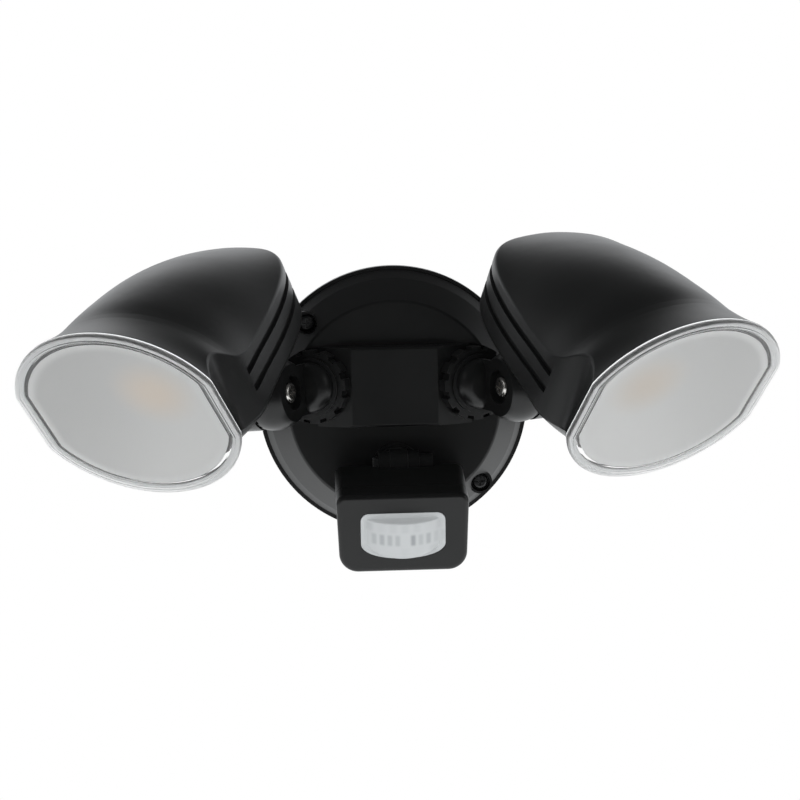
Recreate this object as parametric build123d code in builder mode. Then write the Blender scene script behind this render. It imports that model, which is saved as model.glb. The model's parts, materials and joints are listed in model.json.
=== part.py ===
from build123d import *
import os
from math import cos, radians, sin, tan

os.makedirs("parts", exist_ok=True)

# Twin head security light. Millimetres, the wall is the plane Y = 0 and the light stands out along -Y.

# Round cover and what stands behind it
cover_rim_radius = 62.5
cover_rim_depth = 4.0
cover_bead_radius = 60.5
cover_bead_depth = 5.6
cover_shoulder_radius = 57.5
cover_shoulder_depth = 11.0
cover_face_radius = 48.2
cover_depth = 24.4
cover_wall = 2.5
cavity_step = 1.0
cover_edge_round = 1.6
plate_thickness = 2.0
plate_gap = 0.5
gasket_inset = 1.0
gasket_width = 2.6
gasket_lip = 0.9
gasket_thickness = 1.5
wall_screw_spacing = 70.0
wall_screw_hole_radius = 2.4
cable_hole_radius = 8.0
grommet_bore_radius = 4.5
grommet_lip = 1.8
fit_gap = 0.1
touch_gap = 0.15
nut_clearance = 0.5

# Pan head screws, as shares of the head's height or radius
crown_share = 0.6
slot_depth_share = 0.5
slot_length_share = 1.2
slot_width_share = 0.22

# Two screws that hold the cover, on one diagonal
cover_screw_circle = 54.5
cover_screw_angles = (136.0, -44.0)
cover_screw_recess_radius = 4.6
cover_screw_seat_depth = 12.4
cover_screw_boss_radius = 6.0
cover_screw_rim_radius = 5.6
cover_screw_rim_depth = 15.4
cover_screw_head_radius = 3.7
cover_screw_head_height = 2.4
cover_screw_shank_radius = 1.6

# Centre block with a round socket for an arm at each end
block_middle_z = 9.6
block_half_height = 18.2
block_front_depth = 31.7
block_front_half_width = 19.5
block_edge_round = 1.2
socket_radius = 17.5
socket_backing = 6.0
socket_backing_radius = 13.0
socket_floor = 2.6
ring_pocket_gap = 0.6

# Arm: its axis leans outwards, and the tilt pivot crosses it
arm_lean = 25.0
arm_height_z = 10.2
pivot_side = 45.65
pivot_depth = 46.6
ring_front = 17.0
ring_back = 24.5
ring_radius = 16.8
ring_root_radius = 15.2
ring_rib_count = 12
ring_rib_width = 5.0
ring_step_radius = 13.4
ring_step_height = 1.6
stem_radius = 8.0
stem_bore_radius = 4.0
stem_bore_end = 14.5
stem_tail = 6.0
half_turn = 180.0
arm_nut_radius = 11.0
arm_nut_height = 4.0
seal_radius = 10.4
seal_height = 1.4
neck_radius = 11.5
neck_end = 11.0
neck_round = 5.5
puck_face_radius = 13.0
puck_radius = 16.3
puck_widest = 8.5
puck_joint_radius = 15.4
puck_length = 15.0
puck_tooth_count = 24
puck_tooth_depth = 1.3
puck_tooth_width = 2.0
puck_tooth_height = 1.6
pivot_recess_radius = 7.8
pivot_recess_depth = 3.6
pivot_head_radius = 4.7
pivot_head_height = 3.0
pivot_shank_radius = 2.5
pivot_nut_radius = 4.6
pivot_nut_height = 4.0

# Pose in which each head is built
right_tilt = 30.3
left_tilt = 28.4
right_swivel = 1.0
left_swivel = -5.5

# Head, seen from its pivot: lens centre, lens outline and hood
lens_out = 31.3
lens_up = 48.1
lens_forward = 80.3
lens_rake = 12.1
lens_width = 91.8
lens_height = 97.4
lens_flat = 31.6
lens_corner = 5.0
hood_length = 119.0
hood_top = 41.2
hood_top_run = 118.7
hood_top_power = 1.97
hood_tail_top = 7.2
hood_side_start = 12.5
hood_side_power = 3.7
hood_crease_front = 18.0
hood_crease_rear = 5.9
hood_crease_run = 40.0
hood_side_lean = 1.5
hood_edge = 20.0
hood_belly_front = 54.0
hood_belly_slope = 0.62
hood_belly_rear = 22.5
hood_corner = 2.4
hood_stations = (24.0, 42.0, 60.0, 76.0, 90.0, 102.0, 110.0, 115.0, 118.4)
hood_wall = 2.6
hood_crown_least = 1.0
hollow_ahead = 0.8
groove_depth = 1.6
groove_height = 3.3
groove_heights = (-0.2, -8.8)
groove_start = 28.0
ear_radius = 16.0
ear_length = 12.0
ear_gap = 0.3
ear_web_half = 12.0

# Lens and lamp inside a head
lens_flange = 2.0
lens_plug = 1.6
lens_plug_inset = 4.5
lens_plug_wall = 1.2
lens_edge_round = 0.7
lens_bead_inset = 2.4
lens_bead_width = 0.8
lens_bead_height = 0.4
mouth_inset = 0.3
head_gasket_height = 0.8
diffuser_thickness = 2.0
reflector_depth = 14.0
reflector_wall = 1.4
lamp_rise = -1.0
lamp_width = 46.0
lamp_height = 30.0
lamp_corner = 4.0
board_thickness = 1.6
chip_width = 16.0
chip_height = 12.0
chip_thickness = 1.0
heat_plate_border = 3.0
heat_plate_thickness = 3.0
lamp_shelf_thickness = 4.0
heat_screw_inset = 3.2
heat_screw_head_radius = 2.2
heat_screw_head_height = 1.4
heat_screw_shank_radius = 1.1
heat_screw_length = 6.6
heat_screw_room = 1.0

# Sensor on its own stem
sensor_boss_z = -28.4
sensor_boss_radius = 11.3
sensor_boss_height = 1.2
sensor_flange_radius = 9.6
sensor_flange_height = 1.6
sensor_shank_radius = 5.0
sensor_shank_tail = 5.5
sensor_nut_radius = 8.0
sensor_nut_height = 3.2
sensor_hinge_depth = 33.6
sensor_hinge_z = -25.2
sensor_side = 0.9
sensor_knuckle_radius = 5.8
sensor_tongue_width = 8.0
sensor_ear_width = 5.2
sensor_hinge_screw_radius = 1.9
sensor_knob_radius = 4.4
sensor_knob_length = 6.0
sensor_hinge_nut_radius = 3.6
sensor_hinge_nut_height = 2.4
sensor_pitch = 9.5
sensor_back = 1.6
sensor_length = 40.4
sensor_top_width = 58.6
sensor_bottom_width = 55.9
sensor_height = 36.0
sensor_bottom_round = 8.5
sensor_top_round = 4.0
sensor_edge_round = 2.0
sensor_wall = 2.2
sensor_back_wall = 7.0
sensor_cover_length = 12.0
sensor_seam_gap = 0.4
sensor_board_setback = 2.0
window_width = 36.8
window_height = 20.6
window_top = 8.6
window_corner = 3.5
window_lower_corner = 4.0
window_sag = 4.0
window_border = 1.8
window_lip = 0.6
window_bulge = 9.0
window_gap = 0.2
window_shell = 1.3
window_flange = 1.2
sensor_board_height = 26.0
pir_radius = 4.6
pir_height = 4.2
case_screw_x = 21.8
case_screw_y = -5.0
case_boss_wall = 1.4
case_screw_radius = 1.3
case_screw_head_radius = 2.4
case_screw_head_height = 1.6
case_screw_length = 24.4
dial_radius = 3.6
dial_spindle_radius = 1.8
dial_spacing = 14.0
dial_forward = 20.0
dial_height = 3.6
dial_well_radius = 4.6
dial_well_depth = 1.6
dial_slot_width = 1.0
dial_slot_depth = 0.8

# Supply parts behind the cover
driver_width = 44.0
driver_height = 16.0
driver_z = 33.0
driver_clearance = 3.0
driver_post_radius = 2.6
transformer_width = 13.0
transformer_depth = 12.0
relay_width = 10.0
relay_depth = 11.0
capacitor_radius = 4.0
capacitor_margin = 1.0
terminal_width = 30.0
terminal_height = 14.0
terminal_depth = 11.0
terminal_z = -38.0
terminal_pole_count = 3
terminal_pole_radius = 2.0


def on_wall_side(depth, x=0.0, z=0.0):
    # plane parallel to the wall at a depth in front of it, its normal away from the wall
    return Plane(origin=(x, -depth, z), x_dir=(1, 0, 0), z_dir=(0, -1, 0))


def turned(plane, about_x=0.0, about_z=0.0):
    # the plane turned about its own axes
    return Plane(plane.location * Rotation(about_x, 0, about_z))


def arm_plane(side):
    # origin on the tilt pivot, X to the right, Y up and Z out along the arm
    swivel = right_swivel if side > 0 else left_swivel
    lean = radians(arm_lean)
    level = Plane(
        origin=(side * pivot_side, -pivot_depth, arm_height_z),
        x_dir=(cos(lean), side * sin(lean), 0),
        z_dir=(side * sin(lean), -cos(lean), 0),
    )
    return turned(level, about_z=side * swivel)


def pivot_plane(side):
    # origin on the puck's screw face, Z along the pivot away from the middle of the light
    arm = arm_plane(side)
    return Plane(origin=arm.origin, x_dir=arm.z_dir, z_dir=arm.x_dir * side)


def head_plane(side):
    # origin on the tilt pivot, X to the right, Y to the hood's top and Z to its front
    tilt = right_tilt if side > 0 else left_tilt
    return turned(arm_plane(side), about_x=tilt)


def station_plane(side, distance):
    # across the hood, at a distance behind the lens centre
    head = head_plane(side)
    centre = head.from_local_coords((side * lens_out, lens_up, lens_forward - distance))
    return Plane(origin=centre, x_dir=head.x_dir, z_dir=head.z_dir)


def lens_plane(side, depth=0.0):
    # the lens's outer face, raked down from the hood, or a plane some depth behind it
    return turned(station_plane(side, 0), about_x=lens_rake).offset(-depth)


def sensor_plane():
    # origin on the sensor's hinge, X to the right, Y to its top and Z to its front
    pitch = radians(sensor_pitch)
    return Plane(
        origin=(sensor_side, -sensor_hinge_depth, sensor_hinge_z),
        x_dir=(1, 0, 0),
        z_dir=(0, -cos(pitch), -sin(pitch)),
    )


def keep(piece, name):
    piece.label = name
    export_step(piece, f"parts/{name}.step")


def pan_screw(seat, head_radius, head_height, shank_radius, shank_length):
    # head on the seat plane with its crown along the normal, shank behind it, cross slot in the crown
    outward = Axis(seat.origin, seat.z_dir)
    with BuildPart() as screw:
        with BuildSketch(seat):
            Circle(head_radius)
        extrude(amount=head_height)
        fillet(screw.faces().sort_by(outward)[-1].edges(), head_height * crown_share)
        with BuildSketch(seat):
            Circle(shank_radius)
        extrude(amount=-shank_length)
        with BuildSketch(seat.offset(head_height * (1 - slot_depth_share))):
            Rectangle(head_radius * slot_length_share, head_radius * slot_width_share)
            Rectangle(head_radius * slot_width_share, head_radius * slot_length_share)
        extrude(amount=head_height, mode=Mode.SUBTRACT)
    return screw.part


def hex_nut(seat, corner_radius, height, bore_radius):
    with BuildPart() as nut:
        with BuildSketch(seat):
            RegularPolygon(corner_radius, 6)
            Circle(bore_radius, mode=Mode.SUBTRACT)
        extrude(amount=height)
    return nut.part


def cover_screw_places():
    places = []
    for angle in cover_screw_angles:
        turn = radians(angle)
        places.append((cover_screw_circle * cos(turn), cover_screw_circle * sin(turn)))
    return places


def arm_station(side, behind):
    # plane square to the arm, some distance behind its pivot
    return arm_plane(side).offset(-behind)


# Round cover with the centre block, two arm sockets and the sensor's boss, all one moulding
socket_face = ring_back + touch_gap
with BuildPart() as cavity:
    inner_rim_radius = cover_rim_radius - gasket_inset - gasket_width - gasket_lip
    with BuildSketch():
        with BuildLine():
            Polyline(
                (0, plate_thickness),
                (inner_rim_radius, plate_thickness),
                (inner_rim_radius, -cover_rim_depth),
                (cover_shoulder_radius - cover_wall, -cover_shoulder_depth + cavity_step),
                (cover_face_radius - cover_wall, -cover_depth + cover_wall),
                (0, -cover_depth + cover_wall),
                close=True,
            )
        make_face()
    revolve(axis=Axis.Y)
    with BuildSketch(on_wall_side(cover_depth - cover_wall, 0, block_middle_z)):
        Rectangle(
            2 * (block_front_half_width - cover_wall),
            2 * (block_half_height - cover_wall),
        )
    extrude(amount=block_front_depth - cover_depth)
    for place_x, place_z in cover_screw_places():
        with BuildSketch(on_wall_side(plate_thickness, place_x, place_z)):
            Circle(cover_screw_boss_radius)
        extrude(amount=cover_depth, mode=Mode.SUBTRACT)
    for side in (-1, 1):
        with BuildSketch(arm_station(side, socket_face + socket_backing)):
            Circle(socket_backing_radius)
        extrude(amount=2 * socket_backing, mode=Mode.SUBTRACT)
        with BuildSketch(arm_station(side, socket_face + socket_floor)):
            Circle(socket_radius + socket_floor)
        extrude(amount=2 * socket_backing, mode=Mode.SUBTRACT)
    for post_x in (-1, 1):
        for post_z in (-1, 1):
            post = on_wall_side(
                cover_depth - cover_wall - driver_clearance,
                post_x * (driver_width / 2 - driver_post_radius),
                driver_z + post_z * (driver_height / 2 - driver_post_radius),
            )
            with BuildSketch(post):
                Circle(driver_post_radius)
            extrude(amount=2 * driver_clearance, mode=Mode.SUBTRACT)

with BuildPart() as base_cover:
    with BuildSketch():
        with BuildLine():
            Polyline(
                (0, 0),
                (cover_rim_radius, 0),
                (cover_rim_radius, -cover_rim_depth),
                (cover_bead_radius, -cover_rim_depth),
                (cover_bead_radius, -cover_bead_depth),
                (cover_shoulder_radius, -cover_shoulder_depth),
                (cover_face_radius, -cover_depth),
                (0, -cover_depth),
                close=True,
            )
        make_face()
    revolve(axis=Axis.Y)
    face_edge = base_cover.edges().filter_by(GeomType.CIRCLE).sort_by(Axis.Y)[0]
    fillet(face_edge, cover_edge_round)
    facet_run = (block_front_depth - cover_depth) / tan(radians(arm_lean))
    facet_x = block_front_half_width + facet_run
    block_root = cover_depth - cover_wall / 2
    with BuildSketch(Plane.XY.offset(block_middle_z - block_half_height)):
        with BuildLine():
            Polyline(
                (-facet_x, -block_root),
                (-facet_x, -cover_depth),
                (-block_front_half_width, -block_front_depth),
                (block_front_half_width, -block_front_depth),
                (facet_x, -cover_depth),
                (facet_x, -block_root),
                close=True,
            )
        make_face()
    extrude(amount=2 * block_half_height)
    block_front_edges = base_cover.faces().sort_by(Axis.Y)[0].edges()
    fillet(block_front_edges, block_edge_round)
    for side in (-1, 1):
        with BuildSketch(arm_station(side, socket_face)):
            Circle(ring_radius + ring_pocket_gap)
        extrude(amount=ring_back, mode=Mode.SUBTRACT)
    with BuildSketch(on_wall_side(cover_depth, 0, sensor_boss_z)):
        Circle(sensor_boss_radius)
    extrude(amount=sensor_boss_height)
    for place_x, place_z in cover_screw_places():
        with BuildSketch(on_wall_side(cover_rim_depth, place_x, place_z)):
            Circle(cover_screw_rim_radius)
        extrude(amount=cover_screw_rim_depth - cover_rim_depth)
    add(cavity.part, mode=Mode.SUBTRACT)
    for side in (-1, 1):
        with BuildSketch(arm_station(side, socket_face + socket_backing)):
            Circle(arm_nut_radius + nut_clearance)
        extrude(amount=-2 * socket_backing, mode=Mode.SUBTRACT)
        with BuildSketch(arm_station(side, socket_face)):
            Circle(stem_radius + fit_gap)
        extrude(amount=-2 * socket_backing, mode=Mode.SUBTRACT)
    with BuildSketch(on_wall_side(0, 0, sensor_boss_z)):
        Circle(sensor_shank_radius + fit_gap)
    extrude(amount=2 * cover_depth, mode=Mode.SUBTRACT)
    for place_x, place_z in cover_screw_places():
        with BuildSketch(on_wall_side(cover_screw_seat_depth, place_x, place_z)):
            Circle(cover_screw_recess_radius)
        extrude(amount=cover_depth, mode=Mode.SUBTRACT)
        with BuildSketch(on_wall_side(0, place_x, place_z)):
            Circle(cover_screw_shank_radius + fit_gap)
        extrude(amount=cover_depth, mode=Mode.SUBTRACT)
    gasket_outer = cover_rim_radius - gasket_inset
    with BuildSketch(on_wall_side(0)):
        Circle(gasket_outer)
        Circle(gasket_outer - gasket_width, mode=Mode.SUBTRACT)
    extrude(amount=gasket_thickness, mode=Mode.SUBTRACT)
keep(base_cover.part, "base_cover")

with BuildPart() as wall_gasket:
    with BuildSketch(on_wall_side(0)):
        Circle(gasket_outer - fit_gap)
        Circle(gasket_outer - gasket_width + fit_gap, mode=Mode.SUBTRACT)
    extrude(amount=gasket_thickness)
keep(wall_gasket.part, "wall_gasket")

with BuildPart() as wall_plate:
    with BuildSketch(on_wall_side(0)):
        Circle(inner_rim_radius - plate_gap)
        Circle(cable_hole_radius, mode=Mode.SUBTRACT)
        with Locations((-wall_screw_spacing / 2, 0), (wall_screw_spacing / 2, 0)):
            Circle(wall_screw_hole_radius, mode=Mode.SUBTRACT)
        with Locations(*cover_screw_places()):
            Circle(cover_screw_shank_radius + fit_gap / 2, mode=Mode.SUBTRACT)
    extrude(amount=plate_thickness)
keep(wall_plate.part, "wall_plate")

with BuildPart() as cable_grommet:
    with BuildSketch(on_wall_side(0)):
        Circle(cable_hole_radius - fit_gap / 2)
    extrude(amount=plate_thickness)
    with BuildSketch(on_wall_side(plate_thickness)):
        Circle(cable_hole_radius + grommet_lip)
    extrude(amount=grommet_lip)
    with BuildSketch(on_wall_side(0)):
        Circle(grommet_bore_radius)
    extrude(amount=plate_thickness + grommet_lip, mode=Mode.SUBTRACT)
keep(cable_grommet.part, "cable_grommet")

with BuildPart() as cover_screws:
    for place_x, place_z in cover_screw_places():
        seat = on_wall_side(cover_screw_seat_depth, place_x, place_z)
        add(
            pan_screw(
                seat,
                cover_screw_head_radius,
                cover_screw_head_height,
                cover_screw_shank_radius,
                cover_screw_seat_depth - fit_gap,
            )
        )
keep(cover_screws.part, "cover_screws")

driver_face_depth = cover_depth - cover_wall - driver_clearance
with BuildPart() as driver_board:
    with BuildSketch(on_wall_side(driver_face_depth - board_thickness, 0, driver_z)):
        Rectangle(driver_width, driver_height)
    extrude(amount=board_thickness)
keep(driver_board.part, "driver_board")

driver_back = on_wall_side(driver_face_depth - board_thickness, 0, driver_z)
with BuildPart() as driver_parts:
    with BuildSketch(driver_back):
        with Locations((-driver_width / 4, 0)):
            Rectangle(transformer_width, transformer_width)
    extrude(amount=-transformer_depth)
    with BuildSketch(driver_back):
        with Locations((driver_width / 6, 0)):
            Rectangle(relay_width, transformer_width)
    extrude(amount=-relay_depth)
    with BuildSketch(driver_back):
        with Locations((driver_width / 2 - capacitor_radius - capacitor_margin, 0)):
            Circle(capacitor_radius)
    extrude(amount=-relay_depth)
keep(driver_parts.part, "driver_parts")

with BuildPart() as terminal_block:
    with BuildSketch(on_wall_side(plate_thickness, 0, terminal_z)):
        Rectangle(terminal_width, terminal_height)
    extrude(amount=terminal_depth)
    pole_spacing = terminal_width / terminal_pole_count
    with BuildSketch(on_wall_side(plate_thickness + terminal_depth, 0, terminal_z)):
        with GridLocations(pole_spacing, 1, terminal_pole_count, 1):
            Circle(terminal_pole_radius)
    extrude(amount=-terminal_depth / 2, mode=Mode.SUBTRACT)
keep(terminal_block.part, "terminal_block")


# One side's arm, from the nut behind the cover to the toothed puck
def neck_station(side, behind):
    # across the arm, turned so that the X of its plane points away from the puck on either side
    return turned(arm_station(side, behind), about_z=half_turn if side > 0 else 0)


def arm(side):
    pivot = pivot_plane(side)
    with BuildPart() as piece:
        with BuildSketch(neck_station(side, ring_back + socket_backing + stem_tail)):
            Circle(stem_radius)
        extrude(amount=socket_backing + stem_tail + ring_back - ring_front + touch_gap)
        with BuildSketch(neck_station(side, ring_front - touch_gap)):
            Circle(neck_radius)
        extrude(amount=ring_front - touch_gap - neck_end)
        outward = Axis(arm_plane(side).origin, arm_plane(side).z_dir)
        fillet(piece.faces().sort_by(outward)[-1].edges(), neck_round)
        with BuildSketch(neck_station(side, ring_front - touch_gap)):
            with Locations((-puck_length / 2, 0)):
                Rectangle(puck_length, 4 * neck_radius)
            Circle(neck_radius, mode=Mode.INTERSECT)
        extrude(amount=ring_front)
        with BuildSketch(Plane(origin=pivot.origin, x_dir=pivot.x_dir, z_dir=pivot.y_dir * -1)):
            with BuildLine():
                Line((0, 0), (puck_face_radius, 0))
                ThreePointArc(
                    (puck_face_radius, 0),
                    (puck_radius, puck_widest),
                    (puck_joint_radius, puck_length),
                )
                Line((puck_joint_radius, puck_length), (0, puck_length))
                Line((0, puck_length), (0, 0))
            make_face()
        revolve(axis=Axis(pivot.origin, pivot.z_dir))
        with BuildSketch(pivot):
            Circle(pivot_recess_radius)
        extrude(amount=pivot_recess_depth, mode=Mode.SUBTRACT)
        with BuildSketch(pivot):
            Circle(pivot_shank_radius + fit_gap)
        extrude(amount=puck_length, mode=Mode.SUBTRACT)
        with BuildSketch(pivot.offset(puck_length)):
            with PolarLocations(puck_joint_radius, puck_tooth_count):
                Rectangle(2 * puck_tooth_height, puck_tooth_width)
        extrude(amount=-puck_tooth_depth, mode=Mode.SUBTRACT)
        with BuildSketch(neck_station(side, ring_back + socket_backing + stem_tail)):
            Circle(stem_bore_radius)
        extrude(amount=socket_backing + stem_tail + ring_back - stem_bore_end, mode=Mode.SUBTRACT)
    return piece.part


def lock_ring(side):
    body_height = ring_back - ring_front - ring_step_height
    with BuildPart() as piece:
        with BuildSketch(arm_station(side, ring_back)):
            Circle(ring_root_radius)
            with PolarLocations(ring_root_radius, ring_rib_count):
                Rectangle(2 * (ring_radius - ring_root_radius), ring_rib_width)
            Circle(ring_radius, mode=Mode.INTERSECT)
        extrude(amount=body_height)
        with BuildSketch(arm_station(side, ring_back)):
            Circle(ring_step_radius)
        extrude(amount=ring_back - ring_front)
        with BuildSketch(arm_station(side, ring_back)):
            Circle(stem_radius + fit_gap)
        extrude(amount=ring_back, mode=Mode.SUBTRACT)
    return piece.part


def arm_seal(side):
    # soft washer between the socket's inner end and the nut
    seat = arm_station(side, ring_back + touch_gap + socket_backing + seal_height + touch_gap)
    with BuildPart() as piece:
        with BuildSketch(seat):
            Circle(seal_radius)
            Circle(stem_radius + fit_gap, mode=Mode.SUBTRACT)
        extrude(amount=seal_height)
    return piece.part


def arm_nut(side):
    back = ring_back + 2 * touch_gap + socket_backing + seal_height + arm_nut_height
    return hex_nut(arm_station(side, back), arm_nut_radius, arm_nut_height, stem_radius + fit_gap / 2)


def pivot_screw(side):
    pivot = pivot_plane(side)
    seat = Plane(
        origin=pivot.offset(pivot_recess_depth).origin,
        x_dir=pivot.x_dir,
        z_dir=pivot.z_dir * -1,
    )
    length = puck_length + ear_gap + ear_length - pivot_recess_depth
    return pan_screw(seat, pivot_head_radius, pivot_head_height, pivot_shank_radius, length)


def pivot_nut(side):
    seat = pivot_plane(side).offset(puck_length + ear_gap + ear_length - pivot_nut_height)
    return hex_nut(seat, pivot_nut_radius, pivot_nut_height, pivot_shank_radius + fit_gap / 2)


def hood_outline(distance, inset):
    # across the hood: crowned top, nearly upright sides and a crowned belly
    run = min(max(distance, 0) / hood_top_run, 1.0)
    fall = 1 - run**hood_top_power
    span = max(distance - hood_side_start, 0) / (hood_length - hood_side_start)
    ease = min(distance / hood_crease_run, 1.0)
    top = hood_tail_top + (hood_top - hood_tail_top) * fall
    crease = hood_crease_front + (hood_crease_rear - hood_crease_front) * ease
    crease = min(crease, top - hood_crown_least) - inset
    top = top - inset
    half = lens_width / 2 * (1 - span**hood_side_power) ** (1 / hood_side_power) - inset
    edge = inset - hood_edge
    belly = inset - max(hood_belly_front - hood_belly_slope * distance, hood_belly_rear)
    upper_half = half - hood_side_lean
    with BuildSketch() as outline:
        with BuildLine():
            ThreePointArc((-upper_half, crease), (0, top), (upper_half, crease))
            Line((upper_half, crease), (half, edge))
            ThreePointArc((half, edge), (0, belly), (-half, edge))
            Line((-half, edge), (-upper_half, crease))
        make_face()
        fillet(outline.vertices(), hood_corner)
    return outline.sketch


def lens_outline(inset):
    # flat sides joined by shallow arcs at top and bottom
    half = lens_width / 2 - inset
    reach = lens_height / 2 - inset
    flat = lens_flat / 2
    with BuildSketch() as outline:
        with BuildLine():
            ThreePointArc((-half, flat), (0, reach), (half, flat))
            Line((half, flat), (half, -flat))
            ThreePointArc((half, -flat), (0, -reach), (-half, -flat))
            Line((-half, -flat), (-half, flat))
        make_face()
        fillet(outline.vertices(), lens_corner)
    return outline.sketch


mouth_depth = lens_flange + head_gasket_height
panel_inset = lens_plug_inset + lens_plug_wall + touch_gap


def hood_form(side, inset, stations, ahead=0.0):
    # the hood's outer form, or one inset within it that may start a little ahead of the mouth
    with BuildPart() as form:
        with BuildSketch(lens_plane(side, mouth_depth - ahead)):
            add(lens_outline(mouth_inset + inset))
        for distance in stations:
            with BuildSketch(station_plane(side, distance)):
                add(hood_outline(distance, inset))
        loft()
    return form.part


def heat_screw_places():
    reach_x = lamp_width / 2 + heat_plate_border - heat_screw_inset
    reach_y = lamp_height / 2 + heat_plate_border - heat_screw_inset
    return [(x * reach_x, lamp_rise + y * reach_y) for x in (-1, 1) for y in (-1, 1)]


lamp_floor = mouth_depth + reflector_depth
heat_plate_back = lamp_floor + board_thickness + heat_plate_thickness


def head_housing(side):
    form = hood_form(side, 0.0, hood_stations)
    groove_core = hood_form(side, groove_depth, hood_stations[:-1], hollow_ahead)
    hollow = hood_form(side, hood_wall, hood_stations[:-2], hollow_ahead)
    with BuildPart() as grooves:
        for height in groove_heights:
            with BuildSketch(station_plane(side, groove_start)):
                with Locations((0, height)):
                    Rectangle(2 * lens_width, groove_height)
            extrude(amount=-hood_length)
        add(groove_core, mode=Mode.SUBTRACT)
    with BuildPart() as shelf:
        with BuildSketch(lens_plane(side, heat_plate_back)):
            Rectangle(2 * lens_width, 2 * lens_height)
            with Locations((0, lamp_rise)):
                Rectangle(lamp_width - 2 * heat_screw_inset, lamp_height, mode=Mode.SUBTRACT)
            with Locations(*heat_screw_places()):
                Circle(heat_screw_shank_radius + fit_gap / 2, mode=Mode.SUBTRACT)
        extrude(amount=-lamp_shelf_thickness)
        add(form, mode=Mode.INTERSECT)
    ear_start = pivot_plane(side).offset(puck_length + ear_gap)
    pivot = head_plane(side)
    web_top = lens_up - hood_edge
    with BuildPart() as piece:
        with BuildSketch(Plane(origin=ear_start.origin, x_dir=pivot.z_dir, z_dir=ear_start.z_dir)):
            Circle(ear_radius)
            with Locations((0, -side * web_top / 2)):
                Rectangle(2 * ear_web_half, web_top)
        extrude(amount=ear_length)
        add(form)
        add(grooves.part, mode=Mode.SUBTRACT)
        add(hollow, mode=Mode.SUBTRACT)
        with BuildSketch(lens_plane(side, lens_flange + lens_plug + fit_gap)):
            add(lens_outline(lens_plug_inset - fit_gap))
        extrude(amount=lens_plug, mode=Mode.SUBTRACT)
        add(shelf.part)
        with BuildSketch(ear_start):
            Circle(pivot_shank_radius + fit_gap)
        extrude(amount=ear_length, mode=Mode.SUBTRACT)
        with BuildSketch(ear_start.offset(ear_length - pivot_nut_height)):
            RegularPolygon(pivot_nut_radius + fit_gap, 6)
        extrude(amount=pivot_nut_height, mode=Mode.SUBTRACT)
    return piece.part


def head_lens(side):
    front = lens_plane(side)
    with BuildPart() as piece:
        with BuildSketch(front.offset(-lens_flange)):
            add(lens_outline(0))
        extrude(amount=lens_flange)
        outward = Axis(front.origin, front.z_dir)
        fillet(piece.faces().sort_by(outward)[-1].edges(), lens_edge_round)
        with BuildSketch(front.offset(-lens_flange)):
            add(lens_outline(lens_plug_inset))
            add(lens_outline(lens_plug_inset + lens_plug_wall), mode=Mode.SUBTRACT)
        extrude(amount=-lens_plug)
        with BuildSketch(front):
            add(lens_outline(lens_bead_inset))
            add(lens_outline(lens_bead_inset + lens_bead_width), mode=Mode.SUBTRACT)
        extrude(amount=lens_bead_height)
    return piece.part


def head_gasket(side):
    with BuildPart() as piece:
        with BuildSketch(lens_plane(side, mouth_depth)):
            add(lens_outline(mouth_inset))
            add(lens_outline(mouth_inset + hood_wall), mode=Mode.SUBTRACT)
        extrude(amount=head_gasket_height)
    return piece.part


def diffuser(side):
    with BuildPart() as piece:
        with BuildSketch(lens_plane(side, lens_flange + fit_gap + diffuser_thickness)):
            add(lens_outline(panel_inset))
        extrude(amount=diffuser_thickness)
    return piece.part


def reflector(side):
    # tray that narrows from behind the diffuser to the lamp board
    mouth = lens_plane(side, lens_flange + 2 * fit_gap + diffuser_thickness)
    floor = lens_plane(side, lamp_floor)
    with BuildPart() as piece:
        with BuildSketch(mouth):
            add(lens_outline(panel_inset))
        with BuildSketch(floor):
            with Locations((0, lamp_rise)):
                RectangleRounded(lamp_width, lamp_height, lamp_corner)
        loft()
        with BuildSketch(mouth):
            add(lens_outline(panel_inset + reflector_wall))
        with BuildSketch(floor):
            with Locations((0, lamp_rise)):
                RectangleRounded(
                    lamp_width - 2 * reflector_wall,
                    lamp_height - 2 * reflector_wall,
                    lamp_corner - reflector_wall,
                )
        loft(mode=Mode.SUBTRACT)
    return piece.part


def led_board(side):
    with BuildPart() as piece:
        with BuildSketch(lens_plane(side, lamp_floor + board_thickness)):
            with Locations((0, lamp_rise)):
                Rectangle(lamp_width, lamp_height)
            with Locations(*heat_screw_places()):
                Circle(heat_screw_head_radius + heat_screw_room, mode=Mode.SUBTRACT)
        extrude(amount=board_thickness)
    return piece.part


def led_chip(side):
    with BuildPart() as piece:
        with BuildSketch(lens_plane(side, lamp_floor)):
            with Locations((0, lamp_rise)):
                Rectangle(chip_width, chip_height)
        extrude(amount=chip_thickness)
    return piece.part


def heat_plate(side):
    with BuildPart() as piece:
        with BuildSketch(lens_plane(side, heat_plate_back)):
            with Locations((0, lamp_rise)):
                Rectangle(lamp_width + 2 * heat_plate_border, lamp_height + 2 * heat_plate_border)
            with Locations(*heat_screw_places()):
                Circle(heat_screw_shank_radius + fit_gap, mode=Mode.SUBTRACT)
        extrude(amount=heat_plate_thickness)
    return piece.part


def heat_plate_screws(side):
    with BuildPart() as piece:
        for place_x, place_y in heat_screw_places():
            plate_front = lens_plane(side, lamp_floor + board_thickness)
            centre = plate_front.from_local_coords((place_x, place_y, 0))
            seat = Plane(origin=centre, x_dir=plate_front.x_dir, z_dir=plate_front.z_dir)
            add(
                pan_screw(
                    seat,
                    heat_screw_head_radius,
                    heat_screw_head_height,
                    heat_screw_shank_radius,
                    heat_screw_length,
                )
            )
    return piece.part


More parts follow.
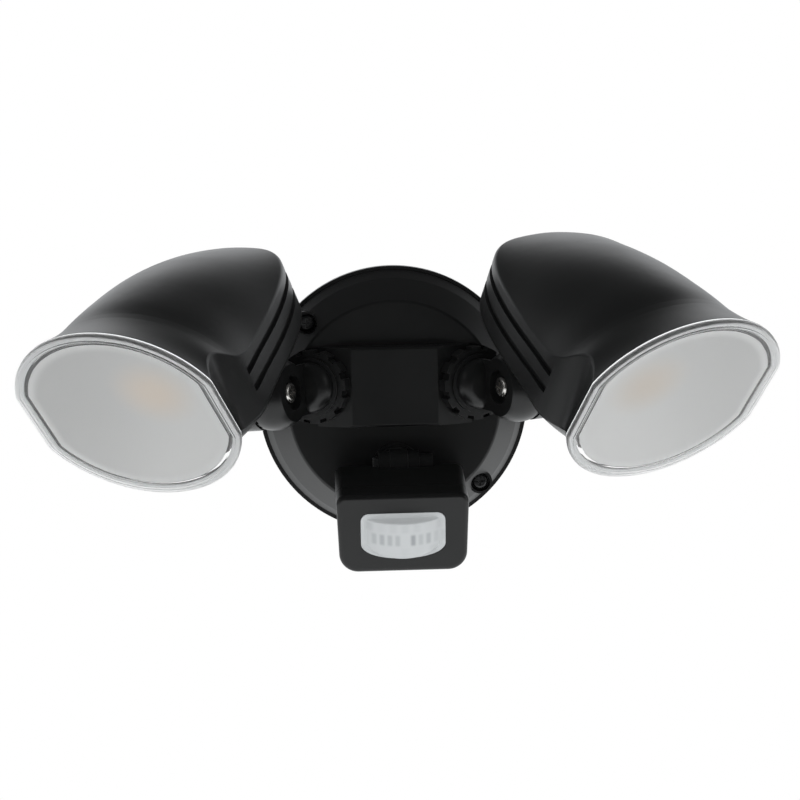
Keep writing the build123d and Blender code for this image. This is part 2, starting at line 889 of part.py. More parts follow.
for side, name in ((-1, "left"), (1, "right")):
    keep(arm(side), f"{name}_arm")
    keep(lock_ring(side), f"{name}_lock_ring")
    keep(arm_seal(side), f"{name}_arm_seal")
    keep(arm_nut(side), f"{name}_arm_nut")
    keep(pivot_screw(side), f"{name}_pivot_screw")
    keep(pivot_nut(side), f"{name}_pivot_nut")
    keep(head_housing(side), f"{name}_head_housing")
    keep(head_lens(side), f"{name}_lens")
    keep(head_gasket(side), f"{name}_lens_gasket")
    keep(diffuser(side), f"{name}_diffuser")
    keep(reflector(side), f"{name}_reflector")
    keep(led_board(side), f"{name}_led_board")
    keep(led_chip(side), f"{name}_led_chip")
    keep(heat_plate(side), f"{name}_heat_plate")
    keep(heat_plate_screws(side), f"{name}_heat_plate_screws")


# Sensor: stem through the cover, hinged case, window lens, detector and dials
with BuildPart() as sensor_stem:
    flange_depth = cover_depth + sensor_boss_height + touch_gap
    with BuildSketch(on_wall_side(cover_depth - cover_wall - sensor_shank_tail, 0, sensor_boss_z)):
        Circle(sensor_shank_radius)
    extrude(amount=sensor_shank_tail + cover_wall + sensor_boss_height + touch_gap)
    with BuildSketch(on_wall_side(flange_depth, 0, sensor_boss_z)):
        Circle(sensor_flange_radius)
    extrude(amount=sensor_flange_height)
    tongue_height = 2 * sensor_knuckle_radius
    with BuildSketch(on_wall_side(flange_depth, sensor_side, sensor_hinge_z)):
        Rectangle(sensor_tongue_width, tongue_height)
    extrude(amount=sensor_hinge_depth - flange_depth)
    tongue_left = sensor_side - sensor_tongue_width / 2
    across = Plane(origin=(tongue_left, -sensor_hinge_depth, sensor_hinge_z), z_dir=(1, 0, 0))
    with BuildSketch(across):
        Circle(sensor_knuckle_radius)
    extrude(amount=sensor_tongue_width)
    with BuildSketch(across):
        Circle(sensor_hinge_screw_radius + fit_gap / 2)
    extrude(amount=sensor_tongue_width, mode=Mode.SUBTRACT)
keep(sensor_stem.part, "sensor_stem")

stem_nut_seat = on_wall_side(
    cover_depth - cover_wall - touch_gap - sensor_nut_height,
    0,
    sensor_boss_z,
)
keep(
    hex_nut(stem_nut_seat, sensor_nut_radius, sensor_nut_height, sensor_shank_radius + fit_gap / 2),
    "sensor_stem_nut",
)


def sensor_outline(inset):
    # front view of the case, its top edge at the hinge's height
    top_half = sensor_top_width / 2 - inset
    bottom_half = sensor_bottom_width / 2 - inset
    with BuildSketch() as outline:
        with BuildLine():
            Polyline(
                (-top_half, -inset),
                (top_half, -inset),
                (bottom_half, inset - sensor_height),
                (-bottom_half, inset - sensor_height),
                close=True,
            )
        make_face()
        corners = outline.vertices().group_by(Axis.Y)
        fillet(corners[0], sensor_bottom_round - inset / 2)
        fillet(outline.vertices().group_by(Axis.Y)[-1], sensor_top_round)
    return outline.sketch


def window_outline(growth):
    half = window_width / 2 + growth
    top = growth - window_top
    bottom = -window_top - window_height - growth
    with BuildSketch() as outline:
        with BuildLine():
            Line((-half, top), (half, top))
            Line((half, top), (half, bottom + window_sag))
            ThreePointArc((half, bottom + window_sag), (0, bottom), (-half, bottom + window_sag))
            Line((-half, bottom + window_sag), (-half, top))
        make_face()
        fillet(outline.vertices().group_by(Axis.Y)[-1], window_corner)
        fillet(outline.vertices().group_by(Axis.Y)[0], window_lower_corner)
    return outline.sketch


sensor_frame = sensor_plane()
sensor_front = sensor_back + sensor_length
seam = sensor_front - sensor_cover_length
hinge_axis_plane = Plane(origin=sensor_frame.origin, x_dir=sensor_frame.z_dir, z_dir=(1, 0, 0))
ear_inner = sensor_tongue_width / 2 + fit_gap
dial_places = (-dial_spacing, 0.0, dial_spacing)
dial_names = ("time_dial", "light_dial", "range_dial")


def dial_plane(place):
    # on the case's underside, its normal down and out of the case
    centre = sensor_frame.from_local_coords((place, -sensor_height, sensor_back + dial_forward))
    return Plane(origin=centre, x_dir=(1, 0, 0), z_dir=sensor_frame.y_dir * -1)


def case_screw_places():
    places = []
    for x in (-case_screw_x, case_screw_x):
        for y in (case_screw_y, sensor_bottom_round - sensor_height):
            places.append((x, y))
    return places


with BuildPart() as sensor_rear_shell:
    with BuildSketch(sensor_frame.offset(sensor_back)):
        add(sensor_outline(0))
    extrude(amount=sensor_length - sensor_cover_length - sensor_seam_gap)
    with BuildSketch(sensor_frame.offset(sensor_back + sensor_back_wall)):
        add(sensor_outline(sensor_wall))
    extrude(amount=sensor_length, mode=Mode.SUBTRACT)
    for place in case_screw_places():
        with BuildSketch(sensor_frame.offset(sensor_back)):
            with Locations(place):
                Circle(case_screw_radius + case_boss_wall)
        extrude(amount=sensor_length - sensor_cover_length - sensor_seam_gap)
    with BuildSketch(hinge_axis_plane.offset(-ear_inner - sensor_ear_width)):
        Circle(sensor_knuckle_radius)
    extrude(amount=2 * (ear_inner + sensor_ear_width))
    with BuildSketch(hinge_axis_plane.offset(-ear_inner)):
        Circle(sensor_knuckle_radius + 2 * touch_gap)
    extrude(amount=2 * ear_inner, mode=Mode.SUBTRACT)
    with BuildSketch(hinge_axis_plane.offset(-sensor_top_width / 2)):
        Circle(sensor_hinge_screw_radius + fit_gap / 2)
    extrude(amount=sensor_top_width, mode=Mode.SUBTRACT)
    with BuildSketch(hinge_axis_plane.offset(ear_inner + sensor_ear_width)):
        Circle(sensor_knob_radius + nut_clearance)
    extrude(amount=sensor_knob_length + 2 * nut_clearance, mode=Mode.SUBTRACT)
    with BuildSketch(hinge_axis_plane.offset(-ear_inner - sensor_ear_width)):
        Circle(sensor_hinge_nut_radius + nut_clearance)
    extrude(amount=-sensor_hinge_nut_height - 2 * nut_clearance, mode=Mode.SUBTRACT)
    for place in case_screw_places():
        with BuildSketch(sensor_frame.offset(sensor_back)):
            with Locations(place):
                Circle(case_screw_radius + fit_gap / 2)
        extrude(amount=sensor_length, mode=Mode.SUBTRACT)
        with BuildSketch(sensor_frame.offset(sensor_back)):
            with Locations(place):
                Circle(case_screw_head_radius + fit_gap)
        extrude(amount=case_screw_head_height, mode=Mode.SUBTRACT)
    for place in dial_places:
        with BuildSketch(dial_plane(place).offset(-dial_well_depth)):
            Circle(dial_well_radius)
        extrude(amount=sensor_height / 4, mode=Mode.SUBTRACT)
        with BuildSketch(dial_plane(place)):
            Circle(dial_spindle_radius + fit_gap / 2)
        extrude(amount=-sensor_wall - dial_well_depth, mode=Mode.SUBTRACT)
keep(sensor_rear_shell.part, "sensor_rear_shell")

with BuildPart() as sensor_front_cover:
    with BuildSketch(sensor_frame.offset(seam)):
        add(sensor_outline(0))
    extrude(amount=sensor_cover_length)
    nose = sensor_front_cover.faces().sort_by(Axis(sensor_frame.origin, sensor_frame.z_dir))[-1]
    fillet(nose.edges(), sensor_edge_round)
    with BuildSketch(sensor_frame.offset(seam)):
        add(sensor_outline(sensor_wall))
    extrude(amount=sensor_cover_length - sensor_wall, mode=Mode.SUBTRACT)
    with BuildSketch(sensor_frame.offset(seam)):
        add(window_outline(window_gap))
    extrude(amount=sensor_cover_length + window_bulge, mode=Mode.SUBTRACT)
    for place in case_screw_places():
        with BuildSketch(sensor_frame.offset(seam)):
            with Locations(place):
                Circle(case_screw_radius + case_boss_wall)
        extrude(amount=sensor_cover_length - sensor_wall)
    for place in case_screw_places():
        with BuildSketch(sensor_frame.offset(seam)):
            with Locations(place):
                Circle(case_screw_radius + fit_gap / 2)
        extrude(amount=sensor_cover_length - sensor_wall, mode=Mode.SUBTRACT)
keep(sensor_front_cover.part, "sensor_front_cover")


def window_barrel(radius):
    # upright barrel whose front stands proud of the case
    half_chord = window_width / 2 - window_border
    sag_radius = (window_bulge**2 + half_chord**2) / (2 * window_bulge)
    centre = sensor_frame.from_local_coords((0, 0, sensor_front + window_bulge - sag_radius))
    with BuildPart() as barrel:
        with BuildSketch(Plane(origin=centre, x_dir=(1, 0, 0), z_dir=sensor_frame.y_dir)):
            Circle(sag_radius - radius)
        extrude(amount=-2 * sensor_height)
    return barrel.part


with BuildPart() as window_hollow:
    with BuildSketch(sensor_frame.offset(seam)):
        add(window_outline(-window_border - window_shell))
    extrude(amount=sensor_cover_length + window_bulge)
    add(window_barrel(window_shell), mode=Mode.INTERSECT)

with BuildPart() as window_lens:
    with BuildSketch(sensor_frame.offset(sensor_front)):
        add(window_outline(-window_border))
    extrude(amount=window_bulge)
    add(window_barrel(0), mode=Mode.INTERSECT)
    with BuildSketch(sensor_frame.offset(sensor_front - sensor_wall - fit_gap)):
        add(window_outline(0))
    extrude(amount=sensor_wall + fit_gap + window_lip)
    with BuildSketch(sensor_frame.offset(sensor_front - sensor_wall - fit_gap)):
        add(window_outline(window_flange))
    extrude(amount=-window_shell)
    add(window_hollow.part, mode=Mode.SUBTRACT)
keep(window_lens.part, "window_lens")

board_front = seam - sensor_seam_gap - sensor_board_setback
sensor_board_half = case_screw_x - case_screw_radius - case_boss_wall - touch_gap
with BuildPart() as sensor_board:
    with BuildSketch(sensor_frame.offset(board_front - board_thickness)):
        with Locations((0, -sensor_height / 2)):
            Rectangle(2 * sensor_board_half, sensor_board_height)
    extrude(amount=board_thickness)
keep(sensor_board.part, "sensor_board")

window_middle = -window_top - window_height / 2
with BuildPart() as detector:
    with BuildSketch(sensor_frame.offset(board_front)):
        with Locations((0, window_middle)):
            Circle(pir_radius)
    extrude(amount=pir_height)
keep(detector.part, "motion_detector")

with BuildPart() as hinge_screw:
    knob_start = ear_inner + sensor_ear_width + fit_gap
    with BuildSketch(hinge_axis_plane.offset(-ear_inner - sensor_ear_width - sensor_hinge_nut_height - fit_gap)):
        Circle(sensor_hinge_screw_radius)
    extrude(amount=2 * knob_start + sensor_hinge_nut_height)
    with BuildSketch(hinge_axis_plane.offset(knob_start)):
        Circle(sensor_knob_radius)
    extrude(amount=sensor_knob_length)
keep(hinge_screw.part, "sensor_hinge_screw")

hinge_nut_plane = hinge_axis_plane.offset(-knob_start - sensor_hinge_nut_height)
keep(
    hex_nut(
        hinge_nut_plane,
        sensor_hinge_nut_radius,
        sensor_hinge_nut_height,
        sensor_hinge_screw_radius + fit_gap / 2,
    ),
    "sensor_hinge_nut",
)

with BuildPart() as case_screws:
    for place in case_screw_places():
        seat_depth = sensor_back + case_screw_head_height
        centre = sensor_frame.from_local_coords((place[0], place[1], seat_depth))
        seat = Plane(origin=centre, x_dir=(1, 0, 0), z_dir=sensor_frame.z_dir * -1)
        add(
            pan_screw(
                seat,
                case_screw_head_radius,
                case_screw_head_height,
                case_screw_radius,
                case_screw_length,
            )
        )
keep(case_screws.part, "sensor_case_screws")

for place, dial_name in zip(dial_places, dial_names):
    with BuildPart() as dial:
        with BuildSketch(dial_plane(place).offset(touch_gap - dial_well_depth)):
            Circle(dial_radius)
        extrude(amount=dial_height)
        with BuildSketch(dial_plane(place).offset(touch_gap - dial_well_depth)):
            Circle(dial_spindle_radius)
        extrude(amount=-sensor_wall)
        with BuildSketch(dial_plane(place).offset(touch_gap - dial_well_depth + dial_height)):
            Rectangle(2 * dial_radius, dial_slot_width)
        extrude(amount=-dial_slot_depth, mode=Mode.SUBTRACT)
    keep(dial.part, dial_name)
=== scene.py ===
import bpy
import json
from math import atan2, cos, pi, radians, sin, sqrt
from mathutils import Matrix, Vector


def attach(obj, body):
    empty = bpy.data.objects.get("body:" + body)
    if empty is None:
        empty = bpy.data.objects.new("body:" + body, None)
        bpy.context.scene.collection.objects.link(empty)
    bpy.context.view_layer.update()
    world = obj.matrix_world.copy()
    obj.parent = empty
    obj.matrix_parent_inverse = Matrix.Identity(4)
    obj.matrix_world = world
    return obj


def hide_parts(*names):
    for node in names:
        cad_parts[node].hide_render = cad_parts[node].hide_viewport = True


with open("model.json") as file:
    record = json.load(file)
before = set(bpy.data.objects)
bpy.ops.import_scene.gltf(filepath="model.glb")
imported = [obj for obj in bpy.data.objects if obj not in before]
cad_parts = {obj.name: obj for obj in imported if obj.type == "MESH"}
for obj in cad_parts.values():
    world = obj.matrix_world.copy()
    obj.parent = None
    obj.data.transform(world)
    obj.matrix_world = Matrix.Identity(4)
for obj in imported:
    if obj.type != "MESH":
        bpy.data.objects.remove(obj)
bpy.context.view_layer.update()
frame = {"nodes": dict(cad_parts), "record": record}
nodes = frame["nodes"]
scene = bpy.context.scene
print("frame loaded:", len(nodes), "nodes")

# Camera: placed at the photograph's viewing angle, a metre from the light
camera = {
    "azimuth": -2.1,
    "elevation": 8.0,
    "roll": -1.2,
    "distance": 1.0,
    "target": (0.0019, -0.040, 0.0048),
    "focalLength": 100.08,
    "sensorWidth": 36.0,
    "farthest": 20.0,
}


def addCamera():
    azimuth = radians(camera["azimuth"])
    elevation = radians(camera["elevation"])
    roll = radians(camera["roll"])
    back = Vector((sin(azimuth) * cos(elevation), -cos(azimuth) * cos(elevation), sin(elevation)))
    right = (-back).cross(Vector((0, 0, 1))).normalized()
    up = right.cross(-back)
    rolledRight = right * cos(roll) + up * sin(roll)
    rolledUp = up * cos(roll) - right * sin(roll)
    data = bpy.data.cameras.new("photoCamera")
    data.sensor_width = camera["sensorWidth"]
    data.lens = camera["focalLength"]
    data.clip_end = camera["farthest"]
    cameraObject = bpy.data.objects.new("photoCamera", data)
    placed = Matrix((rolledRight, rolledUp, back)).transposed().to_4x4()
    placed.translation = Vector(camera["target"]) + back * camera["distance"]
    cameraObject.matrix_world = placed
    scene.collection.objects.link(cameraObject)
    scene.camera = cameraObject


addCamera()


# Where the lenses and the sensor stand: the same pivots, angles and outlines as in the solids
heads = {
    "left": {"side": -1, "swivel": -5.5, "tilt": 28.4},
    "right": {"side": 1, "swivel": 1.0, "tilt": 30.3},
}
headFit = {
    "pivot": (0.04565, -0.0466, 0.0102),
    "armLean": 25.0,
    "lensPlace": (0.0313, 0.0481, 0.0803),
    "lensRake": 12.1,
}
sensorFit = {"hinge": (0.0009, -0.0336, -0.0252), "pitch": 9.5}


def turn(degrees, axis):
    return Matrix.Rotation(radians(degrees), 4, axis)


def lensFrame(head):
    # X to the right, Y up the lens and Z out of it, from the middle of its outer face
    side = head["side"]
    lean = radians(headFit["armLean"])
    acrossArm = Vector((cos(lean), side * sin(lean), 0))
    alongArm = Vector((side * sin(lean), -cos(lean), 0))
    arm = Matrix((acrossArm, Vector((0, 0, 1)), alongArm)).transposed().to_4x4()
    out, forward, height = headFit["pivot"]
    arm.translation = (side * out, forward, height)
    across, up, ahead = headFit["lensPlace"]
    lens = Matrix.Translation((side * across, up, ahead)) @ turn(headFit["lensRake"], "X")
    return arm @ turn(side * head["swivel"], "Z") @ turn(head["tilt"], "X") @ lens


def sensorFrame():
    # X to the right, Y to the top of the case and Z out of its front, from its hinge
    return Matrix.Translation(sensorFit["hinge"]) @ turn(90 + sensorFit["pitch"], "X")


# Small helpers for the node trees
def newNode(tree, kind, **settings):
    node = tree.nodes.new(kind)
    for name, value in settings.items():
        setattr(node, name, value)
    return node


def feed(tree, value, socket):
    # a number or colour is set on the socket, an output is linked to it
    if isinstance(value, bpy.types.NodeSocket):
        tree.links.new(value, socket)
    else:
        socket.default_value = value


def maths(tree, operation, first, second=0.0, third=0.0):
    node = newNode(tree, "ShaderNodeMath", operation=operation)
    for socket, value in zip(node.inputs, (first, second, third)):
        feed(tree, value, socket)
    return node.outputs[0]


def ramp(tree, value, fromMin, fromMax, toMin=0.0, toMax=1.0):
    node = newNode(tree, "ShaderNodeMapRange", interpolation_type="SMOOTHSTEP")
    for name, setting in (
        ("Value", value),
        ("From Min", fromMin),
        ("From Max", fromMax),
        ("To Min", toMin),
        ("To Max", toMax),
    ):
        feed(tree, setting, node.inputs[name])
    return node.outputs[0]


def mixColour(tree, factor, first, second):
    node = newNode(tree, "ShaderNodeMix", data_type="RGBA")
    feed(tree, factor, node.inputs[0])
    feed(tree, first, node.inputs[6])
    feed(tree, second, node.inputs[7])
    return node.outputs[2]


def within(tree, frameMatrix):
    # the surface point in a frame of its own
    inverse = frameMatrix.inverted()
    node = newNode(tree, "ShaderNodeMapping", vector_type="POINT")
    node.inputs["Location"].default_value = inverse.translation
    node.inputs["Rotation"].default_value = inverse.to_euler("XYZ")
    tree.links.new(tree.nodes.new("ShaderNodeTexCoord").outputs["Object"], node.inputs["Vector"])
    return node.outputs["Vector"]


def parts(tree, vector):
    node = tree.nodes.new("ShaderNodeSeparateXYZ")
    tree.links.new(vector, node.inputs[0])
    return node.outputs["X"], node.outputs["Y"], node.outputs["Z"]


def flattened(tree, vector):
    # the point brought down to the plane Z = 0
    node = newNode(tree, "ShaderNodeVectorMath", operation="MULTIPLY")
    tree.links.new(vector, node.inputs[0])
    node.inputs[1].default_value = (1, 1, 0)
    return node.outputs[0]


def distanceTo(tree, vector, point):
    node = newNode(tree, "ShaderNodeVectorMath", operation="DISTANCE")
    tree.links.new(vector, node.inputs[0])
    node.inputs[1].default_value = point
    return node.outputs["Value"]


# Studio: a white backdrop behind the light, a dark room in front of it, and a pale floor
studio = {
    "floorHeight": -0.42,
    "floorHalf": 1.3,
    "floorColour": (0.85, 0.85, 0.85, 1),
    "floorRoughness": 0.9,
    "ambientColour": (0.97, 0.99, 1.0, 1),
    "ambientLevel": 1.32,
    "roomColour": (0.96, 0.98, 1.0, 1),
    "roomLevel": 0.035,
    "backdropStart": 0.25,
    "backdropFull": 0.65,
    "backdropFade": 0.30,
    "backdropTop": 0.72,
}


def seenDirectly(tree, path):
    # 1 for what the camera sees itself or through clear plastic, 0 once light has scattered
    straight = maths(tree, "MAXIMUM", path.outputs["Is Camera Ray"], path.outputs["Is Transmission Ray"])
    unscattered = maths(tree, "LESS_THAN", path.outputs["Diffuse Depth"], 1.0)
    return maths(tree, "MULTIPLY", straight, unscattered)


def background(tree, colour, strength):
    node = tree.nodes.new("ShaderNodeBackground")
    feed(tree, colour, node.inputs["Color"])
    feed(tree, strength, node.inputs["Strength"])
    return node.outputs[0]


def mixShaders(tree, factor, first, second):
    node = tree.nodes.new("ShaderNodeMixShader")
    feed(tree, factor, node.inputs["Fac"])
    tree.links.new(first, node.inputs[1])
    tree.links.new(second, node.inputs[2])
    return node.outputs[0]


def setWorld():
    world = bpy.data.worlds.new("studioWorld")
    world.use_nodes = True
    tree = world.node_tree
    tree.nodes.clear()
    path = tree.nodes.new("ShaderNodeLightPath")
    seen = seenDirectly(tree, path)
    direction = tree.nodes.new("ShaderNodeSeparateXYZ")
    tree.links.new(tree.nodes.new("ShaderNodeTexCoord").outputs["Generated"], direction.inputs[0])
    behind = ramp(tree, direction.outputs["Y"], studio["backdropStart"], studio["backdropFull"])
    height = direction.outputs["Z"]
    low = ramp(tree, height, studio["backdropFade"], studio["backdropTop"], 1.0, studio["roomLevel"])
    level = maths(tree, "MAXIMUM", maths(tree, "MULTIPLY", behind, low), studio["roomLevel"])
    ambient = background(tree, studio["ambientColour"], studio["ambientLevel"])
    mirrored = background(tree, studio["roomColour"], level)
    white = background(tree, (1, 1, 1, 1), 1.0)
    lit = mixShaders(tree, path.outputs["Is Glossy Ray"], ambient, mirrored)
    shown = mixShaders(tree, seen, lit, white)
    output = tree.nodes.new("ShaderNodeOutputWorld")
    tree.links.new(shown, output.inputs["Surface"])
    scene.world = world


def addFloor():
    half = studio["floorHalf"]
    height = studio["floorHeight"]
    mesh = bpy.data.meshes.new("studioFloor")
    corners = [(-half, -half, height), (half, -half, height), (half, half, height), (-half, half, height)]
    mesh.from_pydata(corners, [], [(0, 1, 2, 3)])
    floor = bpy.data.objects.new("studioFloor", mesh)
    scene.collection.objects.link(floor)
    material = bpy.data.materials.new("paleFloor")
    material.use_nodes = True
    tree = material.node_tree
    surface = tree.nodes["Principled BSDF"]
    surface.inputs["Base Color"].default_value = studio["floorColour"]
    surface.inputs["Roughness"].default_value = studio["floorRoughness"]
    seen = seenDirectly(tree, tree.nodes.new("ShaderNodeLightPath"))
    white = tree.nodes.new("ShaderNodeEmission")
    white.inputs["Color"].default_value = (1, 1, 1, 1)
    white.inputs["Strength"].default_value = 1.0
    shown = mixShaders(tree, seen, surface.outputs[0], white.outputs[0])
    tree.links.new(shown, tree.nodes["Material Output"].inputs["Surface"])
    mesh.materials.append(material)


softLamps = {
    "rearSoftbox": {"place": (0.0, 1.3, 0.9), "size": (2.4, 0.8), "power": 1.5},
    "leftSoftbox": {"place": (-1.3, -0.5, 0.35), "size": (1.2, 1.2), "power": 3.0},
    "rightSoftbox": {"place": (1.3, -0.5, 0.35), "size": (1.2, 1.2), "power": 4.5},
}
lampAim = Vector((0.0, -0.05, 0.0))


def addSoftLamp(name, lamp):
    data = bpy.data.lights.new(name, "AREA")
    data.shape = "RECTANGLE"
    data.size, data.size_y = lamp["size"]
    data.energy = lamp["power"]
    lampObject = bpy.data.objects.new(name, data)
    lampObject.location = lamp["place"]
    lampObject.rotation_mode = "QUATERNION"
    lampObject.rotation_quaternion = (lampAim - Vector(lamp["place"])).to_track_quat("-Z", "Y")
    scene.collection.objects.link(lampObject)


setWorld()
addFloor()
for name, lamp in softLamps.items():
    addSoftLamp(name, lamp)
scene.view_settings.view_transform = "Standard"
print("studio ready")


# Shared effects: node groups that several materials use
floatSocket = "NodeSocketFloat"
vectorSocket = "NodeSocketVector"


def newGroup(name, inputs, outputs):
    group = bpy.data.node_groups.new(name, "ShaderNodeTree")
    for direction, sockets in (("INPUT", inputs), ("OUTPUT", outputs)):
        for socket, kind in sockets.items():
            group.interface.new_socket(name=socket, in_out=direction, socket_type=kind)
    entry = group.nodes.new("NodeGroupInput")
    leave = group.nodes.new("NodeGroupOutput")
    return group, entry.outputs, leave.inputs


def surfacePoint(tree):
    return tree.nodes.new("ShaderNodeTexCoord").outputs["Object"]


def noise(tree, point, scale, detail=2.0):
    node = tree.nodes.new("ShaderNodeTexNoise")
    tree.links.new(point, node.inputs["Vector"])
    feed(tree, scale, node.inputs["Scale"])
    node.inputs["Detail"].default_value = detail
    return node.outputs["Fac"]


grain = {"height": 0.00015, "detail": 3.0, "slowScale": 38.0, "slowMiddle": 0.5}


def mouldedGrain():
    # fine grain from the mould, with a slow unevenness of its gloss
    names = ("Grain Scale", "Strength", "Roughness", "Spread")
    inputs = {name: floatSocket for name in names}
    outputs = {"Roughness Out": floatSocket, "Normal": vectorSocket}
    group, entry, leave = newGroup("mouldedGrain", inputs, outputs)
    point = surfacePoint(group)
    fine = noise(group, point, entry["Grain Scale"], grain["detail"])
    slow = noise(group, point, grain["slowScale"])
    bump = group.nodes.new("ShaderNodeBump")
    bump.inputs["Distance"].default_value = grain["height"]
    group.links.new(fine, bump.inputs["Height"])
    group.links.new(entry["Strength"], bump.inputs["Strength"])
    group.links.new(bump.outputs["Normal"], leave["Normal"])
    centred = maths(group, "SUBTRACT", slow, grain["slowMiddle"])
    varied = maths(group, "MULTIPLY_ADD", centred, entry["Spread"], entry["Roughness"])
    group.links.new(varied, leave["Roughness Out"])
    return group


wearAndSheen = {
    "reach": 0.0007,
    "samples": 4,
    "start": 0.02,
    "full": 0.30,
    "patchScale": 160.0,
    "patchStart": 0.35,
    "patchFull": 0.65,
}


def edgeWearAndSheen():
    # 1 along the sharp edges, broken up by patches, and 0 elsewhere: edge wear with a painted sheen
    group, entry, leave = newGroup("edgeWearAndSheen", {"Amount": floatSocket}, {"Mask": floatSocket})
    rounded = newNode(group, "ShaderNodeBevel", samples=wearAndSheen["samples"])
    rounded.inputs["Radius"].default_value = wearAndSheen["reach"]
    shape = group.nodes.new("ShaderNodeNewGeometry")
    likeness = newNode(group, "ShaderNodeVectorMath", operation="DOT_PRODUCT")
    group.links.new(rounded.outputs["Normal"], likeness.inputs[0])
    group.links.new(shape.outputs["Normal"], likeness.inputs[1])
    bend = maths(group, "SUBTRACT", 1.0, likeness.outputs["Value"])
    edge = ramp(group, bend, wearAndSheen["start"], wearAndSheen["full"])
    spots = noise(group, surfacePoint(group), wearAndSheen["patchScale"])
    patches = ramp(group, spots, wearAndSheen["patchStart"], wearAndSheen["patchFull"])
    broken = maths(group, "MULTIPLY", edge, patches)
    group.links.new(maths(group, "MULTIPLY", broken, entry["Amount"]), leave["Mask"])
    return group


def spangle():
    # the crystal patches of a zinc coat
    group, entry, leave = newGroup("spangle", {"Scale": floatSocket}, {"Shade": floatSocket})
    cells = group.nodes.new("ShaderNodeTexVoronoi")
    group.links.new(surfacePoint(group), cells.inputs["Vector"])
    group.links.new(entry["Scale"], cells.inputs["Scale"])
    tone = group.nodes.new("ShaderNodeSeparateColor")
    group.links.new(cells.outputs["Color"], tone.inputs[0])
    group.links.new(tone.outputs[0], leave["Shade"])
    return group


lensForm = {"width": 0.0918, "height": 0.0974, "flat": 0.0316, "corner": 0.005}


def lensArc(inset):
    # half width, radius and centre height of the arc across the top of the outline
    half = lensForm["width"] / 2 - inset
    rise = lensForm["height"] / 2 - inset - lensForm["flat"] / 2
    radius = (rise * rise + half * half) / (2 * rise)
    return half, radius, lensForm["height"] / 2 - inset - radius


def lensInset():
    # how far inside the lens outline a point in the lens's frame is
    group, entry, leave = newGroup("lensInset", {"Point": vectorSocket}, {"Inset": floatSocket})
    flat = flattened(group, entry["Point"])
    half, radius, centre = lensArc(0)
    upper = maths(group, "SUBTRACT", radius, distanceTo(group, flat, (0, centre, 0)))
    lower = maths(group, "SUBTRACT", radius, distanceTo(group, flat, (0, -centre, 0)))
    across = maths(group, "ABSOLUTE", parts(group, flat)[0])
    arcs = maths(group, "MINIMUM", upper, lower)
    inset = maths(group, "MINIMUM", arcs, maths(group, "SUBTRACT", half, across))
    group.links.new(inset, leave["Inset"])
    return group


grainGroup = mouldedGrain()
wearAndSheenGroup = edgeWearAndSheen()
spangleGroup = spangle()
insetGroup = lensInset()


def place(tree, group, **values):
    # the group in a material, its inputs set or linked by name
    node = tree.nodes.new("ShaderNodeGroup")
    node.node_tree = group
    for name, value in values.items():
        feed(tree, value, node.inputs[name.replace("_", " ")])
    return node.outputs


def newMaterial(name):
    material = bpy.data.materials.new(name)
    material.use_nodes = True
    return material, material.node_tree, material.node_tree.nodes["Principled BSDF"]


def addGrain(tree, surface, look):
    effect = place(
        tree,
        grainGroup,
        Grain_Scale=look["grainScale"],
        Strength=look["grain"],
        Roughness=look["roughness"],
        Spread=look["spread"],
    )
    tree.links.new(effect["Normal"], surface.inputs["Normal"])
    tree.links.new(effect["Roughness Out"], surface.inputs["Roughness"])
    return effect["Roughness Out"]


def addScatter(surface, look):
    surface.inputs["Subsurface Weight"].default_value = look["scatter"]
    surface.inputs["Subsurface Radius"].default_value = (look["scatterReach"],) * 3


# Materials
blackPlastics = {
    "black_housing": {
        "name": "satinBlack",
        "tone": 0.0032,
        "wornAndSheenTone": 0.012,
        "roughness": 0.34,
        "grain": 0.16,
        "gloss": 0.43,
    },
    "black_trim": {
        "name": "matteBlack",
        "tone": 0.0036,
        "wornAndSheenTone": 0.016,
        "roughness": 0.40,
        "grain": 0.24,
        "gloss": 0.43,
    },
    "rubber_black": {
        "name": "blackRubber",
        "tone": 0.0065,
        "wornAndSheenTone": 0.012,
        "roughness": 0.72,
        "grain": 0.5,
        "gloss": 0.3,
    },
    "black_steel": {
        "name": "blackSteel",
        "tone": 0.006,
        "wornAndSheenTone": 0.10,
        "roughness": 0.28,
        "grain": 0.08,
        "gloss": 0.6,
    },
}
allBlacks = {"grainScale": 1900.0, "spread": 0.12, "cast": (1.0, 1.03, 1.05)}


def blackPlastic(look):
    # near black with a cool cast, greyer along its edges as wear and a painted sheen
    material, tree, surface = newMaterial(look["name"])
    mask = place(tree, wearAndSheenGroup, Amount=1.0)["Mask"]
    surface.inputs["Specular IOR Level"].default_value = look["gloss"]
    dark = (*(look["tone"] * channel for channel in allBlacks["cast"]), 1)
    # light: the edge colour, for wear and a painted sheen
    light = (look["wornAndSheenTone"], look["wornAndSheenTone"], look["wornAndSheenTone"], 1)
    tree.links.new(mixColour(tree, mask, dark, light), surface.inputs["Base Color"])
    addGrain(tree, surface, {**allBlacks, **look})
    return material


clear = {
    "tint": (1, 1, 1, 1),
    "ior": 1.49,
    "roughness": 0.025,
    "grainScale": 300.0,
    "grain": 0.02,
    "spread": 0.03,
    "edgeRoughness": 0.55,
    "edge": 0.0004,
    "edgeEnd": 0.0011,
}


def clearPlastic(name):
    # polished faces and a softly textured rim
    material, tree, surface = newMaterial(f"{name}ClearPlastic")
    surface.inputs["Base Color"].default_value = clear["tint"]
    surface.inputs["Transmission Weight"].default_value = 1.0
    surface.inputs["IOR"].default_value = clear["ior"]
    polish = addGrain(tree, surface, clear)
    inset = place(tree, insetGroup, Point=within(tree, lensFrame(heads[name])))["Inset"]
    rim = ramp(tree, inset, clear["edge"], clear["edgeEnd"], clear["edgeRoughness"], 0.0)
    tree.links.new(maths(tree, "MAXIMUM", rim, polish), surface.inputs["Roughness"])
    return material


